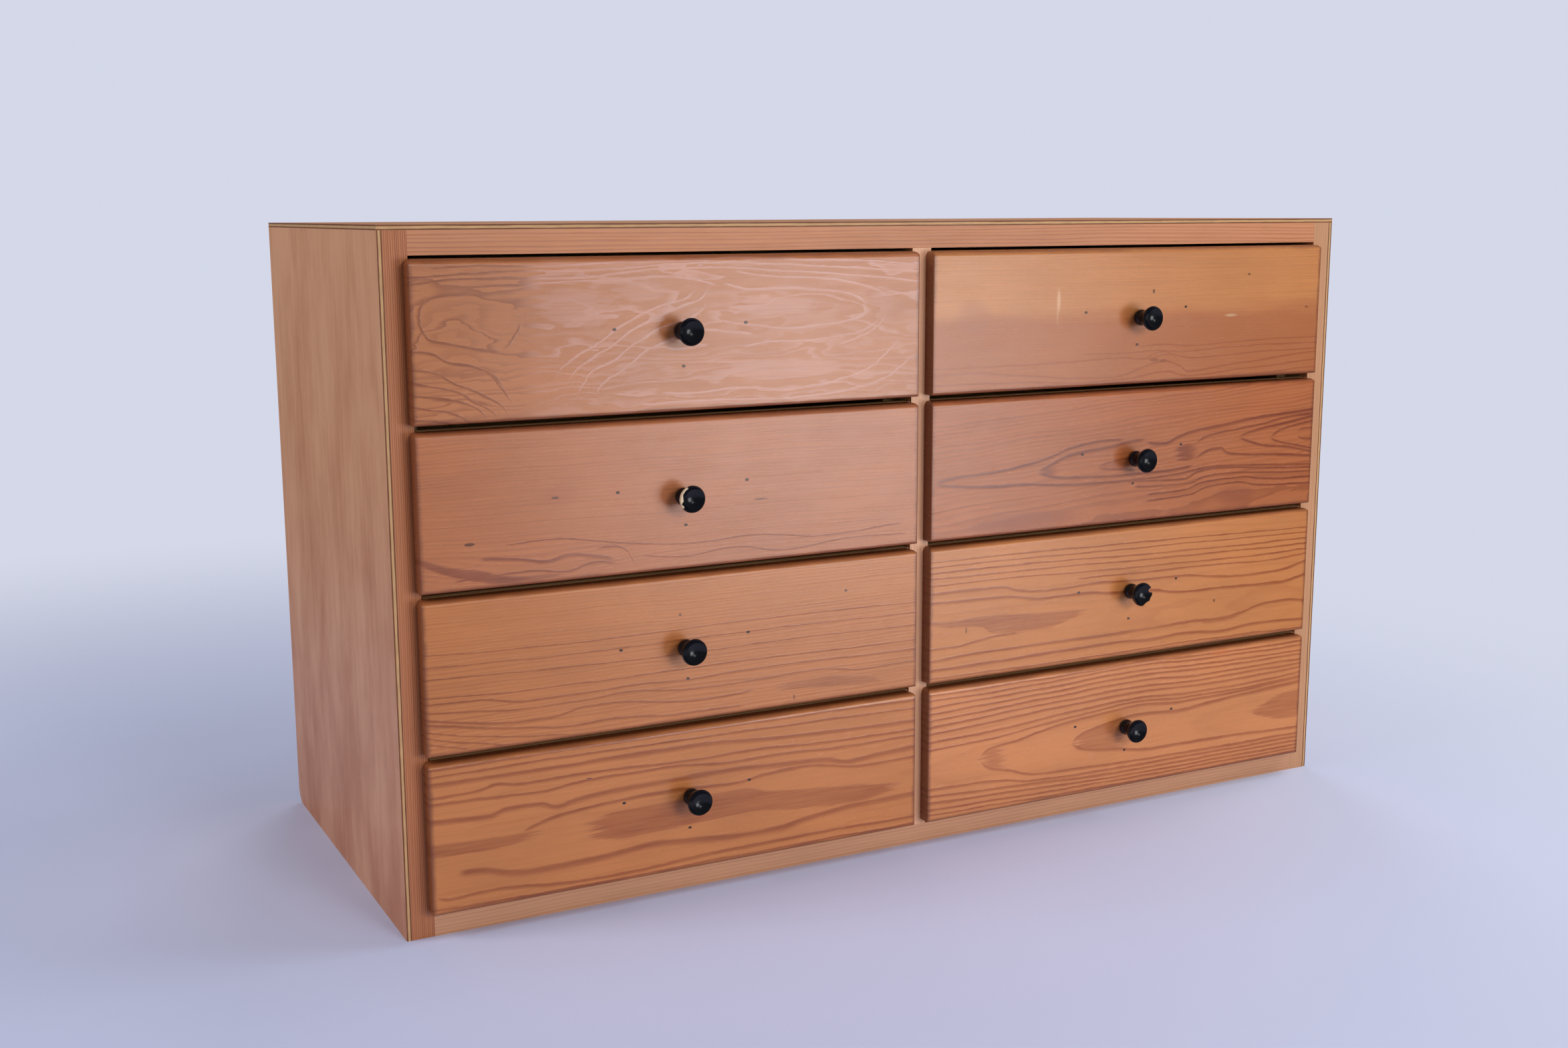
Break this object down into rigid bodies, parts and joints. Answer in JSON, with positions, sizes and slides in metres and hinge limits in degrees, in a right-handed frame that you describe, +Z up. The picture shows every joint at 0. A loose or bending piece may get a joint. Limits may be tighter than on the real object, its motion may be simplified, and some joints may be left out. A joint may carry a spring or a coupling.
{
  "type": "small-parts drawer chest",
  "caption": "Wide, low wooden chest with two columns of shallow lipped drawers on runners, each with a small turned knob, for stamps and craft parts.",
  "frame": {"origin": "floor level, in the middle of the whole object from side to side and from knob rims to back panel", "axes": "+X to the right along the length of the chest as seen from the drawer fronts, +Y from the drawer fronts to the back, +Z up"},
  "size_m": [0.912, 0.404, 0.54],
  "materials": {
    "front_pine": "satin orange varnish",
    "frame_pine": "satin orange varnish",
    "plywood": "thin varnish",
    "bare_pine": "bare, planed",
    "black_gloss": "gloss black paint"
  },
  "bodies": {
    "cabinet": {"left_side_panel": "plywood", "right_side_panel": "plywood", "top_panel": "plywood", "back_panel": "plywood", "left_stile": "frame_pine", "centre_stile": "frame_pine", "right_stile": "frame_pine", "top_rail": "frame_pine", "bottom_rail": "frame_pine", "rear_frame": "bare_pine", "side_runners": "bare_pine", "centre_runners": "bare_pine"},
    "drawer_left_1": {"drawer_left_1_front": "front_pine", "drawer_left_1_left_side": "bare_pine", "drawer_left_1_right_side": "bare_pine", "drawer_left_1_back": "bare_pine", "drawer_left_1_bottom": "plywood", "drawer_left_1_knob": "black_gloss"},
    "drawer_left_2": {"drawer_left_2_front": "front_pine", "drawer_left_2_left_side": "bare_pine", "drawer_left_2_right_side": "bare_pine", "drawer_left_2_back": "bare_pine", "drawer_left_2_bottom": "plywood", "drawer_left_2_knob": "black_gloss"},
    "drawer_left_3": {"drawer_left_3_front": "front_pine", "drawer_left_3_left_side": "bare_pine", "drawer_left_3_right_side": "bare_pine", "drawer_left_3_back": "bare_pine", "drawer_left_3_bottom": "plywood", "drawer_left_3_knob": "black_gloss"},
    "drawer_left_4": {"drawer_left_4_front": "front_pine", "drawer_left_4_left_side": "bare_pine", "drawer_left_4_right_side": "bare_pine", "drawer_left_4_back": "bare_pine", "drawer_left_4_bottom": "plywood", "drawer_left_4_knob": "black_gloss"},
    "drawer_right_1": {"drawer_right_1_front": "front_pine", "drawer_right_1_left_side": "bare_pine", "drawer_right_1_right_side": "bare_pine", "drawer_right_1_back": "bare_pine", "drawer_right_1_bottom": "plywood", "drawer_right_1_knob": "black_gloss"},
    "drawer_right_2": {"drawer_right_2_front": "front_pine", "drawer_right_2_left_side": "bare_pine", "drawer_right_2_right_side": "bare_pine", "drawer_right_2_back": "bare_pine", "drawer_right_2_bottom": "plywood", "drawer_right_2_knob": "black_gloss"},
    "drawer_right_3": {"drawer_right_3_front": "front_pine", "drawer_right_3_left_side": "bare_pine", "drawer_right_3_right_side": "bare_pine", "drawer_right_3_back": "bare_pine", "drawer_right_3_bottom": "plywood", "drawer_right_3_knob": "black_gloss"},
    "drawer_right_4": {"drawer_right_4_front": "front_pine", "drawer_right_4_left_side": "bare_pine", "drawer_right_4_right_side": "bare_pine", "drawer_right_4_back": "bare_pine", "drawer_right_4_bottom": "plywood", "drawer_right_4_knob": "black_gloss"}
  },
  "joints": [
    {"name": "drawer_left_1_slide", "type": "slide", "parent": "cabinet", "child": "drawer_left_1", "axis": [0, -1, 0], "range_m": [0, 0.28]},
    {"name": "drawer_left_2_slide", "type": "slide", "parent": "cabinet", "child": "drawer_left_2", "axis": [0, -1, 0], "range_m": [0, 0.28]},
    {"name": "drawer_left_3_slide", "type": "slide", "parent": "cabinet", "child": "drawer_left_3", "axis": [0, -1, 0], "range_m": [0, 0.28]},
    {"name": "drawer_left_4_slide", "type": "slide", "parent": "cabinet", "child": "drawer_left_4", "axis": [0, -1, 0], "range_m": [0, 0.28]},
    {"name": "drawer_right_1_slide", "type": "slide", "parent": "cabinet", "child": "drawer_right_1", "axis": [0, -1, 0], "range_m": [0, 0.28]},
    {"name": "drawer_right_2_slide", "type": "slide", "parent": "cabinet", "child": "drawer_right_2", "axis": [0, -1, 0], "range_m": [0, 0.28]},
    {"name": "drawer_right_3_slide", "type": "slide", "parent": "cabinet", "child": "drawer_right_3", "axis": [0, -1, 0], "range_m": [0, 0.28]},
    {"name": "drawer_right_4_slide", "type": "slide", "parent": "cabinet", "child": "drawer_right_4", "axis": [0, -1, 0], "range_m": [0, 0.28]}
  ]
}
